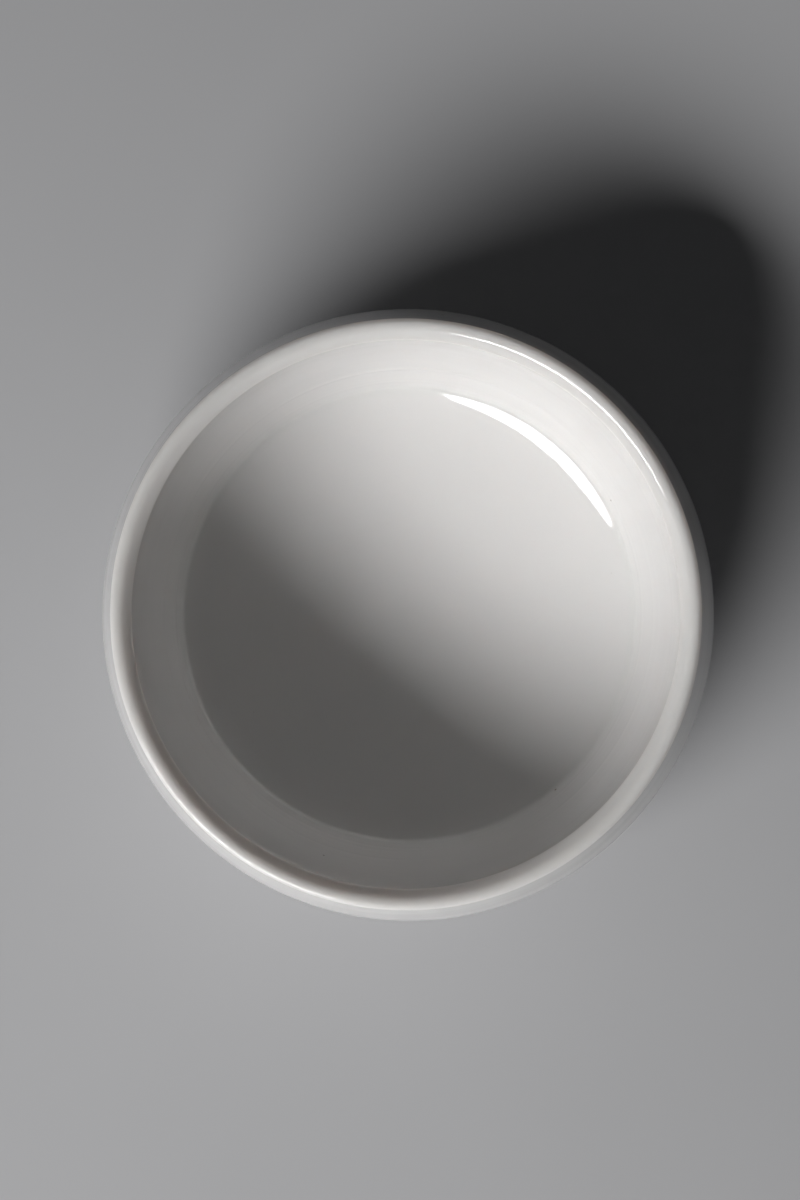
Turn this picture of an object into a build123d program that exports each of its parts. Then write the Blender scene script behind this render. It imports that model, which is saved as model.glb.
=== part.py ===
from build123d import *
from math import atan2, cos, degrees, radians, sin
import os

# A low-form porcelain laboratory crucible with no lid. Millimetres. +Z is up, along the vessel's
# axis. The origin is on that axis, in the plane that the foot stands on.
#
# The vessel is turned, so each of its surfaces is a surface of revolution, and its half profile
# is a chain of arcs that run smoothly into each other. The chain starts on the axis, in the
# middle of the bowl's floor, climbs the inside, goes over the lip and comes down the outside.
# Sizes are those of the finished vessel, with its glaze on. Slopes are in degrees from level.

# Overall
HEIGHT = 22.5
LIP_OUTER_RADIUS = 30.0
BELLY_BULGE = 2.3  # how far the widest part of the wall stands out past the lip
BELLY_HEIGHT = 11.6
FOOT_INSET = 7.0  # how far the foot's outer edge lies inside the lip's

# Bowl: a shallow dished floor that steepens as it runs outward, a crisp heel, then a steep wall
FLOOR_THICKNESS = 2.2
FLOOR_END_SLOPE = 8.0
RISE_RADIUS = 48.0
RISE_END_SLOPE = 20.0
HEEL_START_RADIUS = 11.0
HEEL_START_END_SLOPE = 33.0
HEEL_RADIUS = 1.2
HEEL_END_SLOPE = 68.0
WALL_END_SLOPE = 86.0

# Lip: a crisp edge, a straight-looking bevel up from it, a round crest and a round outside
LIP_EDGE_RADIUS = 0.5
LIP_EDGE_END_SLOPE = 47.0
LIP_BEVEL_RADIUS = 7.0
LIP_BEVEL_END_SLOPE = 40.0
LIP_CREST_RADIUS = 1.2
LIP_OUTSIDE_RADIUS = 0.6
NECK_RADIUS = 0.8  # the hollow where the lip meets the wall

# Outside wall: it leans out almost straight from the neck to the belly, then rounds under
NECK_EXTRA_LEAN = 2.0  # how much more the wall leans at the neck than it does on average
BELLY_EXTRA_LEAN = 0.6  # the same, where the wall runs into the belly
LOWER_WALL_SLOPE = 55.0  # where the lower wall runs into the outer heel
OUTER_HEEL_SLOPE = 20.0  # where the outer heel meets the foot

# Foot: a ring around a shallow recess, left bare so that it doesn't stick to the kiln shelf
FOOT_HEIGHT = 0.8
FOOT_WIDTH = 2.0
FOOT_ROUNDING = 0.2
RECESS_DEPTH = 0.5

# Glaze: one skin over the bowl, the lip and the outside, which stops short of the foot
GLAZE_THICKNESS = 0.25
GLAZE_STOP_SLOPE = 25.0  # the slope of the outer heel where the glaze stops

BELLY_RADIUS = LIP_OUTER_RADIUS + BELLY_BULGE
FOOT_RADIUS = LIP_OUTER_RADIUS - FOOT_INSET

# Directions of travel along the profile, in degrees
OUTWARD = 0.0
DOWNWARD = -90.0
INWARD = -180.0


def run_and_rise(radius, slope_from, slope_to):
    """How far an arc goes outward and up as it turns from one direction to another."""
    turn = 1 if slope_to > slope_from else -1
    start = radians(slope_from)
    end = radians(slope_to)
    return turn * radius * (sin(end) - sin(start)), turn * radius * (cos(start) - cos(end))


def solved(slope, arcs, run, rise):
    """The chain with its two open radii set so that it covers a given run and rise."""
    unit = []
    for radius, end in arcs:
        part_run, part_rise = run_and_rise(1.0 if radius is None else radius, slope, end)
        if radius is None:
            unit.append((part_run, part_rise))
        else:
            run = run - part_run
            rise = rise - part_rise
        slope = end
    (run_a, rise_a), (run_b, rise_b) = unit
    det = run_a * rise_b - run_b * rise_a
    radii = [(run * rise_b - run_b * rise) / det, (run_a * rise - run * rise_a) / det]
    return [(radii.pop(0) if radius is None else radius, end) for radius, end in arcs]


def bowl_arcs():
    """From the middle of the floor to the crest of the lip. The floor and the wall are open."""
    arcs = [
        (None, FLOOR_END_SLOPE),
        (RISE_RADIUS, RISE_END_SLOPE),
        (HEEL_START_RADIUS, HEEL_START_END_SLOPE),
        (HEEL_RADIUS, HEEL_END_SLOPE),
        (None, WALL_END_SLOPE),
        (LIP_EDGE_RADIUS, LIP_EDGE_END_SLOPE),
        (LIP_BEVEL_RADIUS, LIP_BEVEL_END_SLOPE),
        (LIP_CREST_RADIUS, OUTWARD),
    ]
    run = LIP_OUTER_RADIUS - LIP_OUTSIDE_RADIUS
    return solved(OUTWARD, arcs, run, HEIGHT - FLOOR_THICKNESS)


def upper_wall_arcs():
    """From the crest of the lip to the belly. The wall's radius and the belly's are open."""
    drop = HEIGHT - LIP_OUTSIDE_RADIUS - BELLY_HEIGHT
    mean_lean = degrees(atan2(BELLY_BULGE, drop))
    arcs = [
        (NECK_RADIUS, DOWNWARD + mean_lean + NECK_EXTRA_LEAN),
        (None, DOWNWARD + mean_lean + BELLY_EXTRA_LEAN),
        (None, DOWNWARD),
    ]
    return [(LIP_OUTSIDE_RADIUS, DOWNWARD)] + solved(DOWNWARD, arcs, BELLY_BULGE, -drop)


def lower_wall_arcs():
    """From the belly to the foot. Both radii are open."""
    arcs = [(None, INWARD + LOWER_WALL_SLOPE), (None, INWARD + OUTER_HEEL_SLOPE)]
    heel_end = radians(INWARD + OUTER_HEEL_SLOPE)
    run = FOOT_RADIUS - GLAZE_THICKNESS * sin(heel_end) - BELLY_RADIUS
    rise = FOOT_HEIGHT + GLAZE_THICKNESS * cos(heel_end) - BELLY_HEIGHT
    return solved(DOWNWARD, arcs, run, rise)


def chain(arcs, set_back):
    """Edges of the profile, moved into the wall by set_back, and where they end."""
    x = 0.0
    z = FLOOR_THICKNESS
    slope = OUTWARD
    edges = []
    for radius, end in arcs:
        turn = 1 if end > slope else -1
        centre_x = x - turn * radius * sin(radians(slope))
        centre_z = z + turn * radius * cos(radians(slope))
        reach = turn * radius + set_back
        points = []
        for angle in (slope, (slope + end) / 2, end):
            across = reach * sin(radians(angle))
            down = reach * cos(radians(angle))
            points.append((centre_x + across, centre_z - down))
        edges.append(ThreePointArc(*points))
        run, rise = run_and_rise(radius, slope, end)
        x = x + run
        z = z + rise
        slope = end
    return edges, points[-1]


def profile_arcs():
    """The whole chain, from the middle of the floor to the foot."""
    return bowl_arcs() + upper_wall_arcs() + lower_wall_arcs()


def turned(edges):
    """The solid that a closed half profile sweeps around the axis."""
    face = make_face(Plane.XZ * Curve(children=edges))
    return revolve(face, Axis.Z, 360)


def porcelain_body():
    """The fired clay: the vessel less its skin of glaze, with the bare foot under it."""
    edges, heel_end = chain(profile_arcs(), GLAZE_THICKNESS)
    foot = [
        heel_end,
        (FOOT_RADIUS, FOOT_ROUNDING),
        (FOOT_RADIUS - FOOT_ROUNDING, 0),
        (FOOT_RADIUS - FOOT_WIDTH + FOOT_ROUNDING, 0),
        (FOOT_RADIUS - FOOT_WIDTH, FOOT_ROUNDING),
        (FOOT_RADIUS - FOOT_WIDTH, RECESS_DEPTH),
        (0, RECESS_DEPTH),
        (0, FLOOR_THICKNESS - GLAZE_THICKNESS),
    ]
    edges = edges + [Line(a, b) for a, b in zip(foot, foot[1:])]
    return turned(edges)


def glaze_coat():
    """The glaze: a closed skin that lies face to face on the body and ends above the foot."""
    arcs = profile_arcs()
    arcs[-1] = (arcs[-1][0], INWARD + GLAZE_STOP_SLOPE)
    outer, outer_end = chain(arcs, 0.0)
    inner, inner_end = chain(arcs, GLAZE_THICKNESS)
    stop = Line(outer_end, inner_end)
    middle = Line((0, FLOOR_THICKNESS), (0, FLOOR_THICKNESS - GLAZE_THICKNESS))
    return turned(outer + inner + [stop, middle])


PIECES = {
    "porcelain_body": porcelain_body,
    "glaze_coat": glaze_coat,
}

os.makedirs("parts", exist_ok=True)
for node, make in PIECES.items():
    piece = make()
    piece.label = node
    export_step(piece, f"parts/{node}.step")
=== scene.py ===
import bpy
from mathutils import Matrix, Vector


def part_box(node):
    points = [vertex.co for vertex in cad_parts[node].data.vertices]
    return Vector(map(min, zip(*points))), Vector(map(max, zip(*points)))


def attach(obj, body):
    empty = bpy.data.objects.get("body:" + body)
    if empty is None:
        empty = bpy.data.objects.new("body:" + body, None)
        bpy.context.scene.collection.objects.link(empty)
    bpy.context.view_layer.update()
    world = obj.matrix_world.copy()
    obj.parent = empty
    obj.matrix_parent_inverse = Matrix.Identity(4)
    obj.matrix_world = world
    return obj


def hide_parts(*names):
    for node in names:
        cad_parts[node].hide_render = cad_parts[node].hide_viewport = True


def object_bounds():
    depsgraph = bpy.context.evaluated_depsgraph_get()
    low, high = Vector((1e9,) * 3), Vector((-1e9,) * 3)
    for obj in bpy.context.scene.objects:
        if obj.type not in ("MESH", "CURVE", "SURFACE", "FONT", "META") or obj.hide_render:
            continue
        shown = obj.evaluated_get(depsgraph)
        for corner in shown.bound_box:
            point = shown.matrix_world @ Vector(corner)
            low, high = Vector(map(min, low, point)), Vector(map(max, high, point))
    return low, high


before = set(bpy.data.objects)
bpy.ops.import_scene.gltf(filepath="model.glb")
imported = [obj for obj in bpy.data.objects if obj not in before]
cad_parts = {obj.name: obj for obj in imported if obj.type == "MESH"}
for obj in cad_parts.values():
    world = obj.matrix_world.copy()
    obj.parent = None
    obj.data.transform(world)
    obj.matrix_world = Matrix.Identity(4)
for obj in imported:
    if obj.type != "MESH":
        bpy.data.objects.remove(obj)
cad_box = [list(corner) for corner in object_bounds()]

import math

import bpy
import numpy as np
from mathutils import Matrix, Vector

# --- Clay body ---------------------------------------------------------------------------------
# The crucible itself: one piece of hard white porcelain, turned in a mould on a wheel and fired.
# Almost all of it lies under the glaze. Only the foot ring and the recess under it stay bare,
# because a glazed foot would melt on to the kiln shelf.

MM = 0.001
DOWNWARD = -90.0
INWARD = -180.0

lip_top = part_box("glaze_coat")[1][2]
belly_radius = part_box("glaze_coat")[1][0]
belly_bulge = 2.3 * MM
belly_height = 11.6 * MM
lip_radius = belly_radius - belly_bulge
lip_outside = 0.6 * MM
neck_radius = 0.8 * MM
floor_thickness = 2.2 * MM
glaze_thickness = 0.25 * MM
glaze_stop = INWARD + 25.0
foot_radius = lip_radius - 7.0 * MM
foot_height = 0.8 * MM
foot_width = 2.0 * MM
foot_rounding = 0.2 * MM
recess_depth = 0.5 * MM


def run_and_rise(radius, slope_from, slope_to):
    """How far an arc goes outward and up: the radius times the change in the sine of the slope,
    and the radius times the change in its cosine, both positive for a left turn."""
    turn = 1 if slope_to > slope_from else -1
    start = math.radians(slope_from)
    end = math.radians(slope_to)
    run = turn * radius * (math.sin(end) - math.sin(start))
    rise = turn * radius * (math.cos(start) - math.cos(end))
    return run, rise


def solved(slope, arcs, run, rise):
    """The chain of arcs with its two open radii set so that it covers a given run and rise:
    the two sums, of runs and of rises, are two equations that are linear in the two radii."""
    unit = []
    for radius, end in arcs:
        part = run_and_rise(1.0 if radius is None else radius, slope, end)
        if radius is None:
            unit.append(part)
        else:
            run, rise = run - part[0], rise - part[1]
        slope = end
    radii = list(np.linalg.solve(np.array(unit).T, [run, rise]))
    return [(radii.pop(0) if radius is None else radius, end) for radius, end in arcs]


bowl = solved(
    0.0,
    [
        (None, 8.0),  # floor
        (48.0 * MM, 20.0),  # rise
        (11.0 * MM, 33.0),  # start of the heel
        (1.2 * MM, 68.0),  # heel
        (None, 86.0),  # wall
        (0.5 * MM, 47.0),  # inner edge of the lip
        (7.0 * MM, 40.0),  # bevel
        (1.2 * MM, 0.0),  # crest
    ],
    lip_radius - lip_outside,
    lip_top - floor_thickness,
)
wall_drop = lip_top - lip_outside - belly_height
mean_lean = math.degrees(math.atan2(belly_bulge, wall_drop))
upper_wall = [(lip_outside, DOWNWARD)] + solved(
    DOWNWARD,
    [
        (neck_radius, DOWNWARD + mean_lean + 2.0),  # neck
        (None, DOWNWARD + mean_lean + 0.6),  # leaning wall
        (None, DOWNWARD),  # belly
    ],
    belly_bulge,
    -wall_drop,
)
heel_end = math.radians(INWARD + 20.0)
lower_wall = solved(
    DOWNWARD,
    [(None, INWARD + 55.0), (None, INWARD + 20.0)],
    foot_radius - glaze_thickness * math.sin(heel_end) - belly_radius,
    foot_height + glaze_thickness * math.cos(heel_end) - belly_height,
)


def along_arcs(arcs, set_back, spacing):
    """Points of the half profile, as distances from the axis and heights. Each arc is its centre
    plus its radius times the sine and minus the cosine of the slope, and set_back is added to
    the radius of a left turn and taken from that of a right turn. Each arc has its spacing."""
    x, z, slope = 0.0, floor_thickness, 0.0
    radii, heights = [], []
    for (radius, end), step in zip(arcs, np.broadcast_to(spacing, len(arcs))):
        turn = 1 if end > slope else -1
        centre_x = x - turn * radius * math.sin(math.radians(slope))
        centre_z = z + turn * radius * math.cos(math.radians(slope))
        reach = turn * radius + set_back
        length = abs(radius * math.radians(end - slope))
        steps = max(4, int(round(length / step)))
        angle = np.radians(np.linspace(slope, end, steps + 1)[1 if radii else 0:])
        radii.append(centre_x + reach * np.sin(angle))
        heights.append(centre_z - reach * np.cos(angle))
        run, rise = run_and_rise(radius, slope, end)
        x, z, slope = x + run, z + rise, end
    return np.concatenate(radii), np.concatenate(heights)


def distance_along(radii, heights):
    """The running length of the profile: the sum of the straight steps between its points."""
    return np.concatenate([[0.0], np.cumsum(np.hypot(np.diff(radii), np.diff(heights)))])


def wander(angle, first, last, draw):
    """A closed wandering line around the axis: a sum of sines of the whole multiples of the
    angle from first to last, each with a random phase and size, scaled so that it ends at 1."""
    multiple = np.arange(first, last + 1)[:, None]
    phase = draw.uniform(0.0, 2.0 * np.pi, multiple.shape)
    size = draw.uniform(0.4, 1.0, multiple.shape) / np.sqrt(multiple)
    line = np.sum(size * np.sin(multiple * angle[None, :] + phase), axis=0)
    return line / np.abs(line).max()


def moved(radii, heights, slide, lift):
    """The profile as a grid of points by angles. Each point goes along the profile by slide and
    square to it, to the left, by lift: the direction ahead is the profile's own step, divided
    by its length, and the direction to the left is that turned by a quarter."""
    ahead_r, ahead_z = np.gradient(radii), np.gradient(heights)
    size = np.hypot(ahead_r, ahead_z)
    ahead_r, ahead_z = (ahead_r / size)[:, None], (ahead_z / size)[:, None]
    grid_r = radii[:, None] + slide * ahead_r - lift * ahead_z
    grid_z = heights[:, None] + slide * ahead_z + lift * ahead_r
    grid_r[radii < 1e-9] = 0.0
    return grid_r, grid_z


def turned_mesh(name, grid_r, grid_z, looks):
    """A surface of revolution from a grid of profile points by angles: x is the distance from
    the axis times the cosine of the angle, y times its sine, and z is the height. A row on the
    axis is one vertex. Each grid in looks becomes an attribute that the material reads."""
    rows, around = grid_r.shape
    angle = np.linspace(0.0, 2.0 * np.pi, around, endpoint=False)
    points = np.stack([grid_r * np.cos(angle), grid_r * np.sin(angle), grid_z], axis=-1)
    number = np.arange(rows * around).reshape(rows, around)
    on_axis = grid_r[:, 0] == 0.0
    number[on_axis] = number[on_axis][:, :1]
    low, high = number[:-1], number[1:]
    low_next, high_next = np.roll(low, -1, axis=1), np.roll(high, -1, axis=1)
    quads = np.stack([low, high, high_next, low_next], axis=-1).reshape(-1, 4)
    corners = np.concatenate([quads[:, [0, 1, 2]], quads[:, [0, 2, 3]]])
    whole = (corners != np.roll(corners, 1, axis=1)).all(axis=1)
    used, faces = np.unique(corners[whole], return_inverse=True)
    mesh = bpy.data.meshes.new(name)
    mesh.from_pydata(points.reshape(-1, 3)[used], [], faces.reshape(-1, 3))
    mesh.polygons.foreach_set("use_smooth", np.ones(len(mesh.polygons), dtype=bool))
    for look, grid in looks.items():
        values = np.broadcast_to(grid, (rows, around)).reshape(-1)[used]
        mesh.attributes.new(look, "FLOAT", "POINT").data.foreach_set("value", values)
    mesh.update()
    piece = bpy.data.objects.new(name, mesh)
    bpy.context.scene.collection.objects.link(piece)
    return piece


def node(tree, kind, values=None, **settings):
    """A shader node with its settings. A value is a constant, or the output that feeds it."""
    made = tree.nodes.new(kind)
    for key, value in settings.items():
        setattr(made, key, value)
    for key, value in (values or {}).items():
        if isinstance(value, bpy.types.NodeSocket):
            tree.links.new(value, made.inputs[key])
        else:
            made.inputs[key].default_value = value
    return made


def maths(tree, operation, *values):
    """One sum on numbers or outputs."""
    return node(tree, "ShaderNodeMath", dict(enumerate(values)), operation=operation).outputs[0]


def band(tree, value, low, high):
    """A smooth step from 0 where the value is low to 1 where it is high."""
    return node(
        tree,
        "ShaderNodeMapRange",
        {"Value": value, "From Min": low, "From Max": high},
        interpolation_type="SMOOTHSTEP",
    ).outputs["Result"]


def tinted(tree, amount, under, over):
    """The colour under with the colour over laid on it by an amount from 0 to 1."""
    mix = tree.nodes.new("ShaderNodeMix")
    mix.data_type = "RGBA"
    for socket, value in ((mix.inputs[0], amount), (mix.inputs[6], under), (mix.inputs[7], over)):
        if isinstance(value, bpy.types.NodeSocket):
            tree.links.new(value, socket)
        else:
            socket.default_value = value if isinstance(value, float) else (*value, 1.0)
    return mix.outputs[2]


def noise(tree, where, grain, detail=2.0):
    """Cloudy noise whose grains are about this many metres across, from 0 to 1."""
    values = {"Vector": where, "Scale": 1.0 / grain, "Detail": detail}
    return node(tree, "ShaderNodeTexNoise", values).outputs["Fac"]


def specks(tree, where, apart, largest, share):
    """Dots strewn at random: one cell in each cube of the size apart, of which a share holds a
    dot, with a radius between nothing and the largest. 1 inside a dot and 0 outside."""
    cells = node(tree, "ShaderNodeTexVoronoi", {"Vector": where, "Scale": 1.0 / apart})
    lot = node(tree, "ShaderNodeSeparateColor", {"Color": cells.outputs["Color"]})
    reach = maths(tree, "MULTIPLY", lot.outputs[1], largest / apart)
    inside = band(tree, maths(tree, "SUBTRACT", reach, cells.outputs["Distance"]), 0.0, 0.012)
    return maths(tree, "MULTIPLY", inside, maths(tree, "LESS_THAN", lot.outputs[0], share))


def bumped(tree, height, distance, under=None):
    """A normal tilted by a height of 0 to 1 that stands for this many metres."""
    values = {"Height": height, "Distance": distance}
    if under:
        values["Normal"] = under
    return node(tree, "ShaderNodeBump", values).outputs["Normal"]


around = 256
angle = np.linspace(0.0, 2.0 * np.pi, around, endpoint=False)
turning = np.random.default_rng(31)
edge_wander = 0.22 * MM
glaze_wander = wander(angle, 2, 17, turning) * edge_wander

coat_arcs = bowl + upper_wall + lower_wall[:1] + [(lower_wall[1][0], glaze_stop)]
under_glaze_r, under_glaze_z = along_arcs(coat_arcs, glaze_thickness, 0.9 * MM)
bare_arcs = bowl + upper_wall + lower_wall
body_spacing = [0.9 * MM] * (len(bare_arcs) - 1) + [0.2 * MM]
body_r, body_z = along_arcs(bare_arcs, glaze_thickness, body_spacing)

# The foot: its rounded outer edge, the ring, its rounded inner edge, and the recess to the axis.
corner = np.radians(np.linspace(0.0, 90.0, 7))
recess_spacing = 0.18 * MM
recess_steps = int(round((foot_radius - foot_width) / recess_spacing))
foot_r = np.concatenate([
    foot_radius - foot_rounding + foot_rounding * np.cos(corner),
    np.linspace(foot_radius - foot_rounding, foot_radius - foot_width + foot_rounding, 9)[1:-1],
    foot_radius - foot_width + foot_rounding - foot_rounding * np.sin(corner),
    np.full(3, foot_radius - foot_width),
    np.linspace(foot_radius - foot_width, 0.0, recess_steps + 1),
])
foot_z = np.concatenate([
    foot_rounding - foot_rounding * np.sin(corner),
    np.zeros(7),
    foot_rounding - foot_rounding * np.cos(corner),
    np.linspace(foot_rounding, recess_depth, 5)[1:-1],
    np.full(recess_steps + 1, recess_depth),
])
clay_r = np.concatenate([body_r, foot_r])
clay_z = np.concatenate([body_z, foot_z])
clay_along = distance_along(clay_r, clay_z)
stop_along = distance_along(under_glaze_r, under_glaze_z)[-1]
contact_along = clay_along[len(body_r) + len(corner)] + foot_width / 2 - foot_rounding
recess_along = clay_along[-1 - recess_steps]

# The tool's spiral in the recess: one groove that moves out by its pitch in each turn.
groove_pitch = 1.1 * MM
groove_depth = 0.018 * MM
recess_ramp = 0.8 * MM
in_recess = np.clip((clay_along - recess_along) / recess_ramp, 0.0, 1.0)[:, None]
groove = 2.0 * np.pi * (clay_along[:, None] - recess_along) / groove_pitch + angle[None, :]
clay_lift = -groove_depth / 2.0 * in_recess * (1.0 - np.cos(groove))

# Nicks in the outer edge of the foot. None reaches under the glaze.
nick_count = 9
nick_height = 0.22 * MM
under_glaze_margin = 0.3 * MM
for nick in range(nick_count):
    place = turning.uniform(0.0, 2.0 * np.pi)
    nick_along = clay_along[len(body_r)] + turning.uniform(0.0, 0.35) * MM
    nick_width = turning.uniform(0.3, 0.9) * MM
    across = (clay_along - nick_along) / nick_height
    round_about = np.angle(np.exp(1j * (angle - place))) * foot_radius / nick_width
    dent = np.exp(-across[:, None] ** 2 - round_about[None, :] ** 2)
    clay_lift = clay_lift - turning.uniform(0.03, 0.09) * MM * dent
clay_lift[clay_along < stop_along + under_glaze_margin] = 0.0

# Where the flame has flashed the clay, beside the glaze, and where the ring is ground flat.
flash_width = 0.45 * MM
ground_width = 0.75 * MM
from_stop = clay_along[:, None] - stop_along - glaze_wander[None, :]
flashing = np.exp(-((from_stop / flash_width) ** 2))
ground = np.exp(-(((clay_along[:, None] - contact_along) / ground_width) ** 4))
clay_looks = {"flashing": flashing, "ground": ground}
clay = turned_mesh("clay_body", *moved(clay_r, clay_z, 0.0, clay_lift), clay_looks)


def bare_porcelain():
    """Fired clay with no glaze: matt, faintly gritty, buff where the flame caught it beside the
    glaze, and grey and slightly polished where it has stood and been dragged."""
    look = bpy.data.materials.new("bare_porcelain")
    look.use_nodes = True
    tree = look.node_tree
    where = node(tree, "ShaderNodeTexCoord").outputs["Object"]
    flashed = node(tree, "ShaderNodeAttribute", attribute_name="flashing").outputs["Fac"]
    worn = node(tree, "ShaderNodeAttribute", attribute_name="ground").outputs["Fac"]
    cloud = noise(tree, where, 7.0 * MM, 4.0)
    grit = noise(tree, where, 0.16 * MM, 3.0)
    scuff = maths(tree, "MULTIPLY", worn, band(tree, noise(tree, where, 1.1 * MM, 6.0), 0.44, 0.62))
    colour = tinted(tree, band(tree, cloud, 0.3, 0.7), (0.80, 0.77, 0.71), (0.74, 0.70, 0.63))
    gritty = maths(tree, "MULTIPLY", band(tree, grit, 0.35, 0.75), 0.28)
    colour = tinted(tree, gritty, colour, (0.60, 0.56, 0.50))
    streak = maths(tree, "MULTIPLY", flashed, band(tree, noise(tree, where, 3.0 * MM, 3.0), 0.25, 0.7))
    colour = tinted(tree, maths(tree, "MULTIPLY", streak, 0.62), colour, (0.52, 0.33, 0.19))
    colour = tinted(tree, maths(tree, "MULTIPLY", scuff, 0.6), colour, (0.36, 0.35, 0.34))
    colour = tinted(tree, specks(tree, where, 1.7 * MM, 0.16 * MM, 0.3), colour, (0.16, 0.11, 0.08))
    shader = tree.nodes["Principled BSDF"]
    tree.links.new(colour, shader.inputs["Base Color"])
    rough = maths(tree, "SUBTRACT", 0.78, maths(tree, "MULTIPLY", scuff, 0.25))
    tree.links.new(rough, shader.inputs["Roughness"])
    normal = bumped(tree, grit, 0.012 * MM)
    tree.links.new(bumped(tree, cloud, 0.03 * MM, normal), shader.inputs["Normal"])
    return look


clay.data.materials.append(bare_porcelain())
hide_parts("porcelain_body")
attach(clay, "root")

# --- Glaze coat --------------------------------------------------------------------------------
# A clear glaze, dipped and then fired on: a glassy skin over the bowl, the lip and the outside.
# It draws thin over the lip and gathers in the heel and the neck. It is sponged off above the
# foot before the firing, where its edge wanders a little and draws up into a soft bead.

bead_length = 0.7 * MM
outer_heel_radius = lower_wall[1][0]
bead_slope = glaze_stop + math.degrees(bead_length / outer_heel_radius)
bead_arcs = coat_arcs[:-1] + [(outer_heel_radius, bead_slope), (outer_heel_radius, glaze_stop)]
skin_spacing = MM * np.array([
    0.4, 0.26, 0.12, 0.06, 0.16,  # floor, rise, start of the heel, heel, wall
    0.08, 0.15, 0.1, 0.1, 0.1,  # inner edge, bevel, crest and outside of the lip, neck
    0.35, 0.35, 0.35, 0.35, 0.05,  # leaning wall, belly, lower wall, outer heel, bead
])
outer_r, outer_z = along_arcs(bead_arcs, 0.0, skin_spacing)
hidden_spacing = 1.9 * MM
inner_r, inner_z = along_arcs(bead_arcs, glaze_thickness, hidden_spacing)
outer_along = distance_along(outer_r, outer_z)
inner_along = distance_along(inner_r, inner_z)


def near_stop(along):
    """A smooth ramp from 0 to 1 over the last 3 mm before the glaze stops: the straight ramp
    squared, times three less twice itself."""
    ramp = np.clip(1.0 - (along[-1] - along) / (3.0 * MM), 0.0, 1.0)
    return ramp * ramp * (3.0 - 2.0 * ramp)


def rippled(along, draw):
    """The glaze's slow waves, from how it ran and how the clay under it was turned: a sum of
    sines of the distance along the profile plus a whole multiple of the angle. A wave's height
    is its tilt times its length over two pi. Each has its length in mm, tilt and multiple."""
    total = np.zeros((len(along), around))
    for length, tilt, twist in (
        (11.0, 0.0045, 2), (8.3, 0.0040, -3), (6.9, 0.0038, 4), (5.6, 0.0035, 1), (4.4, 0.0030, -5),
        (3.4, 0.0026, 7), (2.3, 0.0030, 1), (1.7, 0.0034, -1), (1.3, 0.0030, 1), (1.05, 0.0022, 0),
    ):
        phase = draw.uniform(0.0, 2.0 * np.pi)
        fade = 0.65 + 0.35 * wander(angle, 1, 5, draw)
        wave = np.sin(2.0 * np.pi * along[:, None] / (length * MM) + twist * angle + phase)
        total += tilt * length * MM / (2.0 * np.pi) * wave * fade
    return total


# The waves die out at the axis, over the lip and beside the glaze's edge.
crest_row = int(outer_z.argmax())
from_crest = (outer_along - outer_along[crest_row]) / (2.6 * MM)
calm = np.clip(outer_along / (5.0 * MM), 0.0, 1.0) * (1.0 - np.exp(-(from_crest**4)))
skin_lift = rippled(outer_along, turning) * (calm * (1.0 - near_stop(outer_along)))[:, None]

# Ridges around the inner wall, left by the turning: height above the foot in mm, rise in
# thousandths of a mm, and half-width in mm.
ridges = (
    (8.3, 46.0, 0.24),
    (9.0, 16.0, 0.24),
    (11.1, 34.0, 0.26),
    (12.6, 5.0, 0.32),
    (17.6, 4.0, 0.35),
)
for height, rise, width in ridges:
    row_along = np.interp(height * MM, outer_z[:crest_row], outer_along[:crest_row])
    drift = 0.12 * MM * wander(angle, 1, 4, turning)
    strength = 0.6 + 0.4 * wander(angle, 1, 3, turning)
    cross = np.exp(-(((outer_along[:, None] - row_along - drift) / (width * MM)) ** 2))
    skin_lift += rise * 0.001 * MM * strength * cross

# The edge of the glaze: a bead, which then tucks down to the clay in a quarter round.
bead_rise = 0.035 * MM
tuck_depth = 0.19 * MM
tuck_length = 0.3 * MM
to_stop = (outer_along[-1] - outer_along) / tuck_length
bead = bead_rise * np.exp(-(((to_stop - 2.4) / 1.5) ** 2))
tuck = tuck_depth * (1.0 - np.sqrt(1.0 - np.clip(1.0 - to_stop, 0.0, 1.0) ** 2))
skin_lift += (bead - tuck)[:, None]
skin_slide = near_stop(outer_along)[:, None] * glaze_wander[None, :]
under_slide = near_stop(inner_along)[:, None] * glaze_wander[None, :]

# How hollow the surface is, above 0, or how sharp, below 0, in radians per mm, smoothed along
# the profile: glaze gathers in a hollow and draws thin over an edge.
gathering_reach = 0.55 * MM
slope = np.unwrap(np.arctan2(np.gradient(outer_z), np.gradient(outer_r)))
hollow = np.gradient(slope, outer_along) * MM
apart = (outer_along[:, None] - outer_along[None, :]) / gathering_reach
weight = np.exp(-(apart**2)) * np.gradient(outer_along)[None, :]
gathered = (weight * hollow[None, :]).sum(axis=1) / weight.sum(axis=1)

skin = moved(outer_r, outer_z, skin_slide, skin_lift)
under = moved(inner_r, inner_z, under_slide, 0.0)
glaze = turned_mesh(
    "glaze_skin",
    np.concatenate([skin[0], under[0][::-1]]),
    np.concatenate([skin[1], under[1][::-1]]),
    {
        "gathered": np.concatenate([gathered, np.zeros(len(inner_r))])[:, None],
        "along": np.concatenate([outer_along, inner_along[::-1]])[:, None],
    },
)


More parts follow.
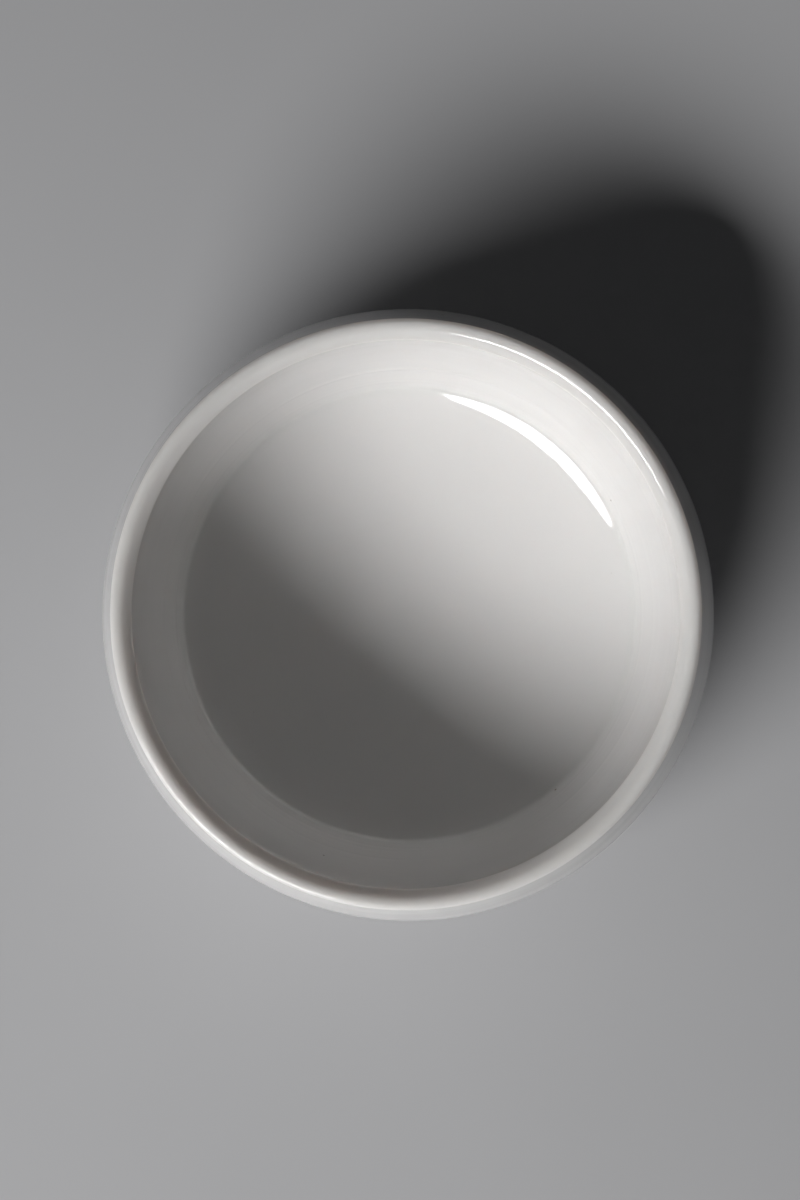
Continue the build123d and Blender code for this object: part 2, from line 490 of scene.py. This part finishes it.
def white_glaze():
    """Clear glaze over white porcelain: glassy, a little translucent, warmer where it is thin
    over an edge, greyer where it has gathered in a hollow, with an orange-peel skin, turning
    rings that show through it and a few dark specks of iron."""
    look = bpy.data.materials.new("white_glaze")
    look.use_nodes = True
    tree = look.node_tree
    where = node(tree, "ShaderNodeTexCoord").outputs["Object"]
    depth = node(tree, "ShaderNodeAttribute", attribute_name="gathered").outputs["Fac"]
    along = node(tree, "ShaderNodeAttribute", attribute_name="along").outputs["Fac"]
    mottle = noise(tree, where, 12.0 * MM, 4.0)
    peel = noise(tree, where, 1.0 * MM, 1.0)
    fine = noise(tree, where, 0.35 * MM, 2.0)
    colour = tinted(tree, band(tree, mottle, 0.3, 0.7), (0.808, 0.792, 0.779), (0.793, 0.780, 0.768))
    thin = maths(tree, "MULTIPLY", band(tree, maths(tree, "MULTIPLY", depth, -1.0), 0.05, 0.9), 0.75)
    thick = maths(tree, "MULTIPLY", band(tree, depth, 0.02, 0.35), 0.7)
    colour = tinted(tree, thin, colour, (0.80, 0.78, 0.755))
    colour = tinted(tree, thick, colour, (0.778, 0.774, 0.756))
    dots = specks(tree, where, 3.1 * MM, 0.16 * MM, 0.28)
    dust = specks(tree, where, 1.3 * MM, 0.055 * MM, 0.10)
    colour = tinted(tree, maths(tree, "MULTIPLY", dots, 0.7), colour, (0.20, 0.15, 0.11))
    colour = tinted(tree, maths(tree, "MULTIPLY", dust, 0.6), colour, (0.28, 0.24, 0.20))
    shader = tree.nodes["Principled BSDF"]
    tree.links.new(colour, shader.inputs["Base Color"])
    rub = band(tree, noise(tree, where, 2.6 * MM, 5.0), 0.45, 0.8)
    rough = maths(tree, "ADD", 0.018, maths(tree, "MULTIPLY", rub, 0.03))
    tree.links.new(rough, shader.inputs["Roughness"])
    ring_pitch = 0.62 * MM
    rings = maths(tree, "SINE", maths(tree, "MULTIPLY", along, 2.0 * math.pi / ring_pitch))
    rings = maths(tree, "MULTIPLY", rings, band(tree, noise(tree, where, 5.0 * MM), 0.35, 0.75))
    normal = bumped(tree, rings, 0.0003 * MM)
    normal = bumped(tree, peel, 0.0013 * MM, normal)
    normal = bumped(tree, fine, 0.0002 * MM, normal)
    normal = bumped(tree, dots, 0.008 * MM, normal)
    tree.links.new(normal, shader.inputs["Normal"])
    shader.inputs["IOR"].default_value = 1.6
    shader.subsurface_method = "BURLEY"
    shader.inputs["Subsurface Weight"].default_value = 1.0
    shader.inputs["Subsurface Radius"].default_value = (1.0, 0.9, 0.84)
    shader.inputs["Subsurface Scale"].default_value = 2.2 * MM
    return look


glaze.data.materials.append(white_glaze())
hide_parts("glaze_coat")
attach(glaze, "root")

# --- Floor -------------------------------------------------------------------------------------
# A plain pale bench top under the crucible, painted, with a very faint cloudiness.

bench_reach = 6.0
bench_mesh = bpy.data.meshes.new("bench_top")
corners = bench_reach * np.array([(-1, -1, 0), (1, -1, 0), (1, 1, 0), (-1, 1, 0)], dtype=float)
corners[:, 2] = cad_box[0][2]
bench_mesh.from_pydata(corners, [], [(0, 1, 2, 3)])
bench = bpy.data.objects.new("bench_top", bench_mesh)
bpy.context.scene.collection.objects.link(bench)


def pale_bench():
    """Pale matt paint with a trace of cloudiness."""
    look = bpy.data.materials.new("pale_bench")
    look.use_nodes = True
    tree = look.node_tree
    where = node(tree, "ShaderNodeTexCoord").outputs["Object"]
    colour = tinted(tree, noise(tree, where, 60.0 * MM, 3.0), (0.50, 0.50, 0.51), (0.54, 0.54, 0.55))
    shader = tree.nodes["Principled BSDF"]
    tree.links.new(colour, shader.inputs["Base Color"])
    shader.inputs["Roughness"].default_value = 0.75
    return look


bench_mesh.materials.append(pale_bench())

# --- Light -------------------------------------------------------------------------------------
# One wide, shallow, oval soft box, low to the lower left of the view, and a little even light.

light_azimuth = math.radians(231.0)
light_elevation = math.radians(33.5)
light_distance = 0.9
light_half_width = math.radians(28.0)
light_half_height = math.radians(8.8)
towards_light = Vector((
    math.cos(light_azimuth) * math.cos(light_elevation),
    math.sin(light_azimuth) * math.cos(light_elevation),
    math.sin(light_elevation),
))
soft_box = bpy.data.lights.new("soft_box", "AREA")
soft_box.shape = "ELLIPSE"
soft_box.size = 2 * light_distance * math.tan(light_half_width) * math.cos(light_elevation)
soft_box.size_y = 2 * light_distance * math.tan(light_half_height)
soft_box.energy = 8.55
lamp = bpy.data.objects.new("soft_box", soft_box)
lamp.location = Vector((0, 0, lip_top)) + towards_light * light_distance
lamp.rotation_mode = "QUATERNION"
lamp.rotation_quaternion = towards_light.to_track_quat("Z", "Y")
bpy.context.scene.collection.objects.link(lamp)

world = bpy.data.worlds.new("even_light")
bpy.context.scene.world = world
world.use_nodes = True
world.node_tree.nodes["Background"].inputs["Color"].default_value = (0.95, 0.97, 1.0, 1)
world.node_tree.nodes["Background"].inputs["Strength"].default_value = 0.03
bpy.context.scene.view_settings.view_transform = "Standard"

# --- Camera ------------------------------------------------------------------------------------
# It looks straight down into the bowl from 230 mm above the lip.

camera_offset = (5.4 * MM, -1.3 * MM)
camera_height = 230.0 * MM
aim_offset = (-0.5 * MM, 1.4 * MM)
seen_height = 121.2 * MM
view_camera = bpy.data.cameras.new("view_camera")
view_camera.sensor_width = 36.0
view_camera.lens = view_camera.sensor_width * camera_height / seen_height
view_camera.clip_start = 0.01
camera = bpy.data.objects.new("view_camera", view_camera)
camera.location = (camera_offset[0], camera_offset[1], lip_top + camera_height)
aim = Vector((aim_offset[0], aim_offset[1], lip_top))
backwards = (camera.location - aim).normalized()
sideways = Vector((0.0, 1.0, 0.0)).cross(backwards).normalized()
view_axes = Matrix((sideways, backwards.cross(sideways), backwards)).transposed()
camera.rotation_mode = "QUATERNION"
camera.rotation_quaternion = view_axes.to_quaternion()
bpy.context.scene.collection.objects.link(camera)
bpy.context.scene.camera = camera
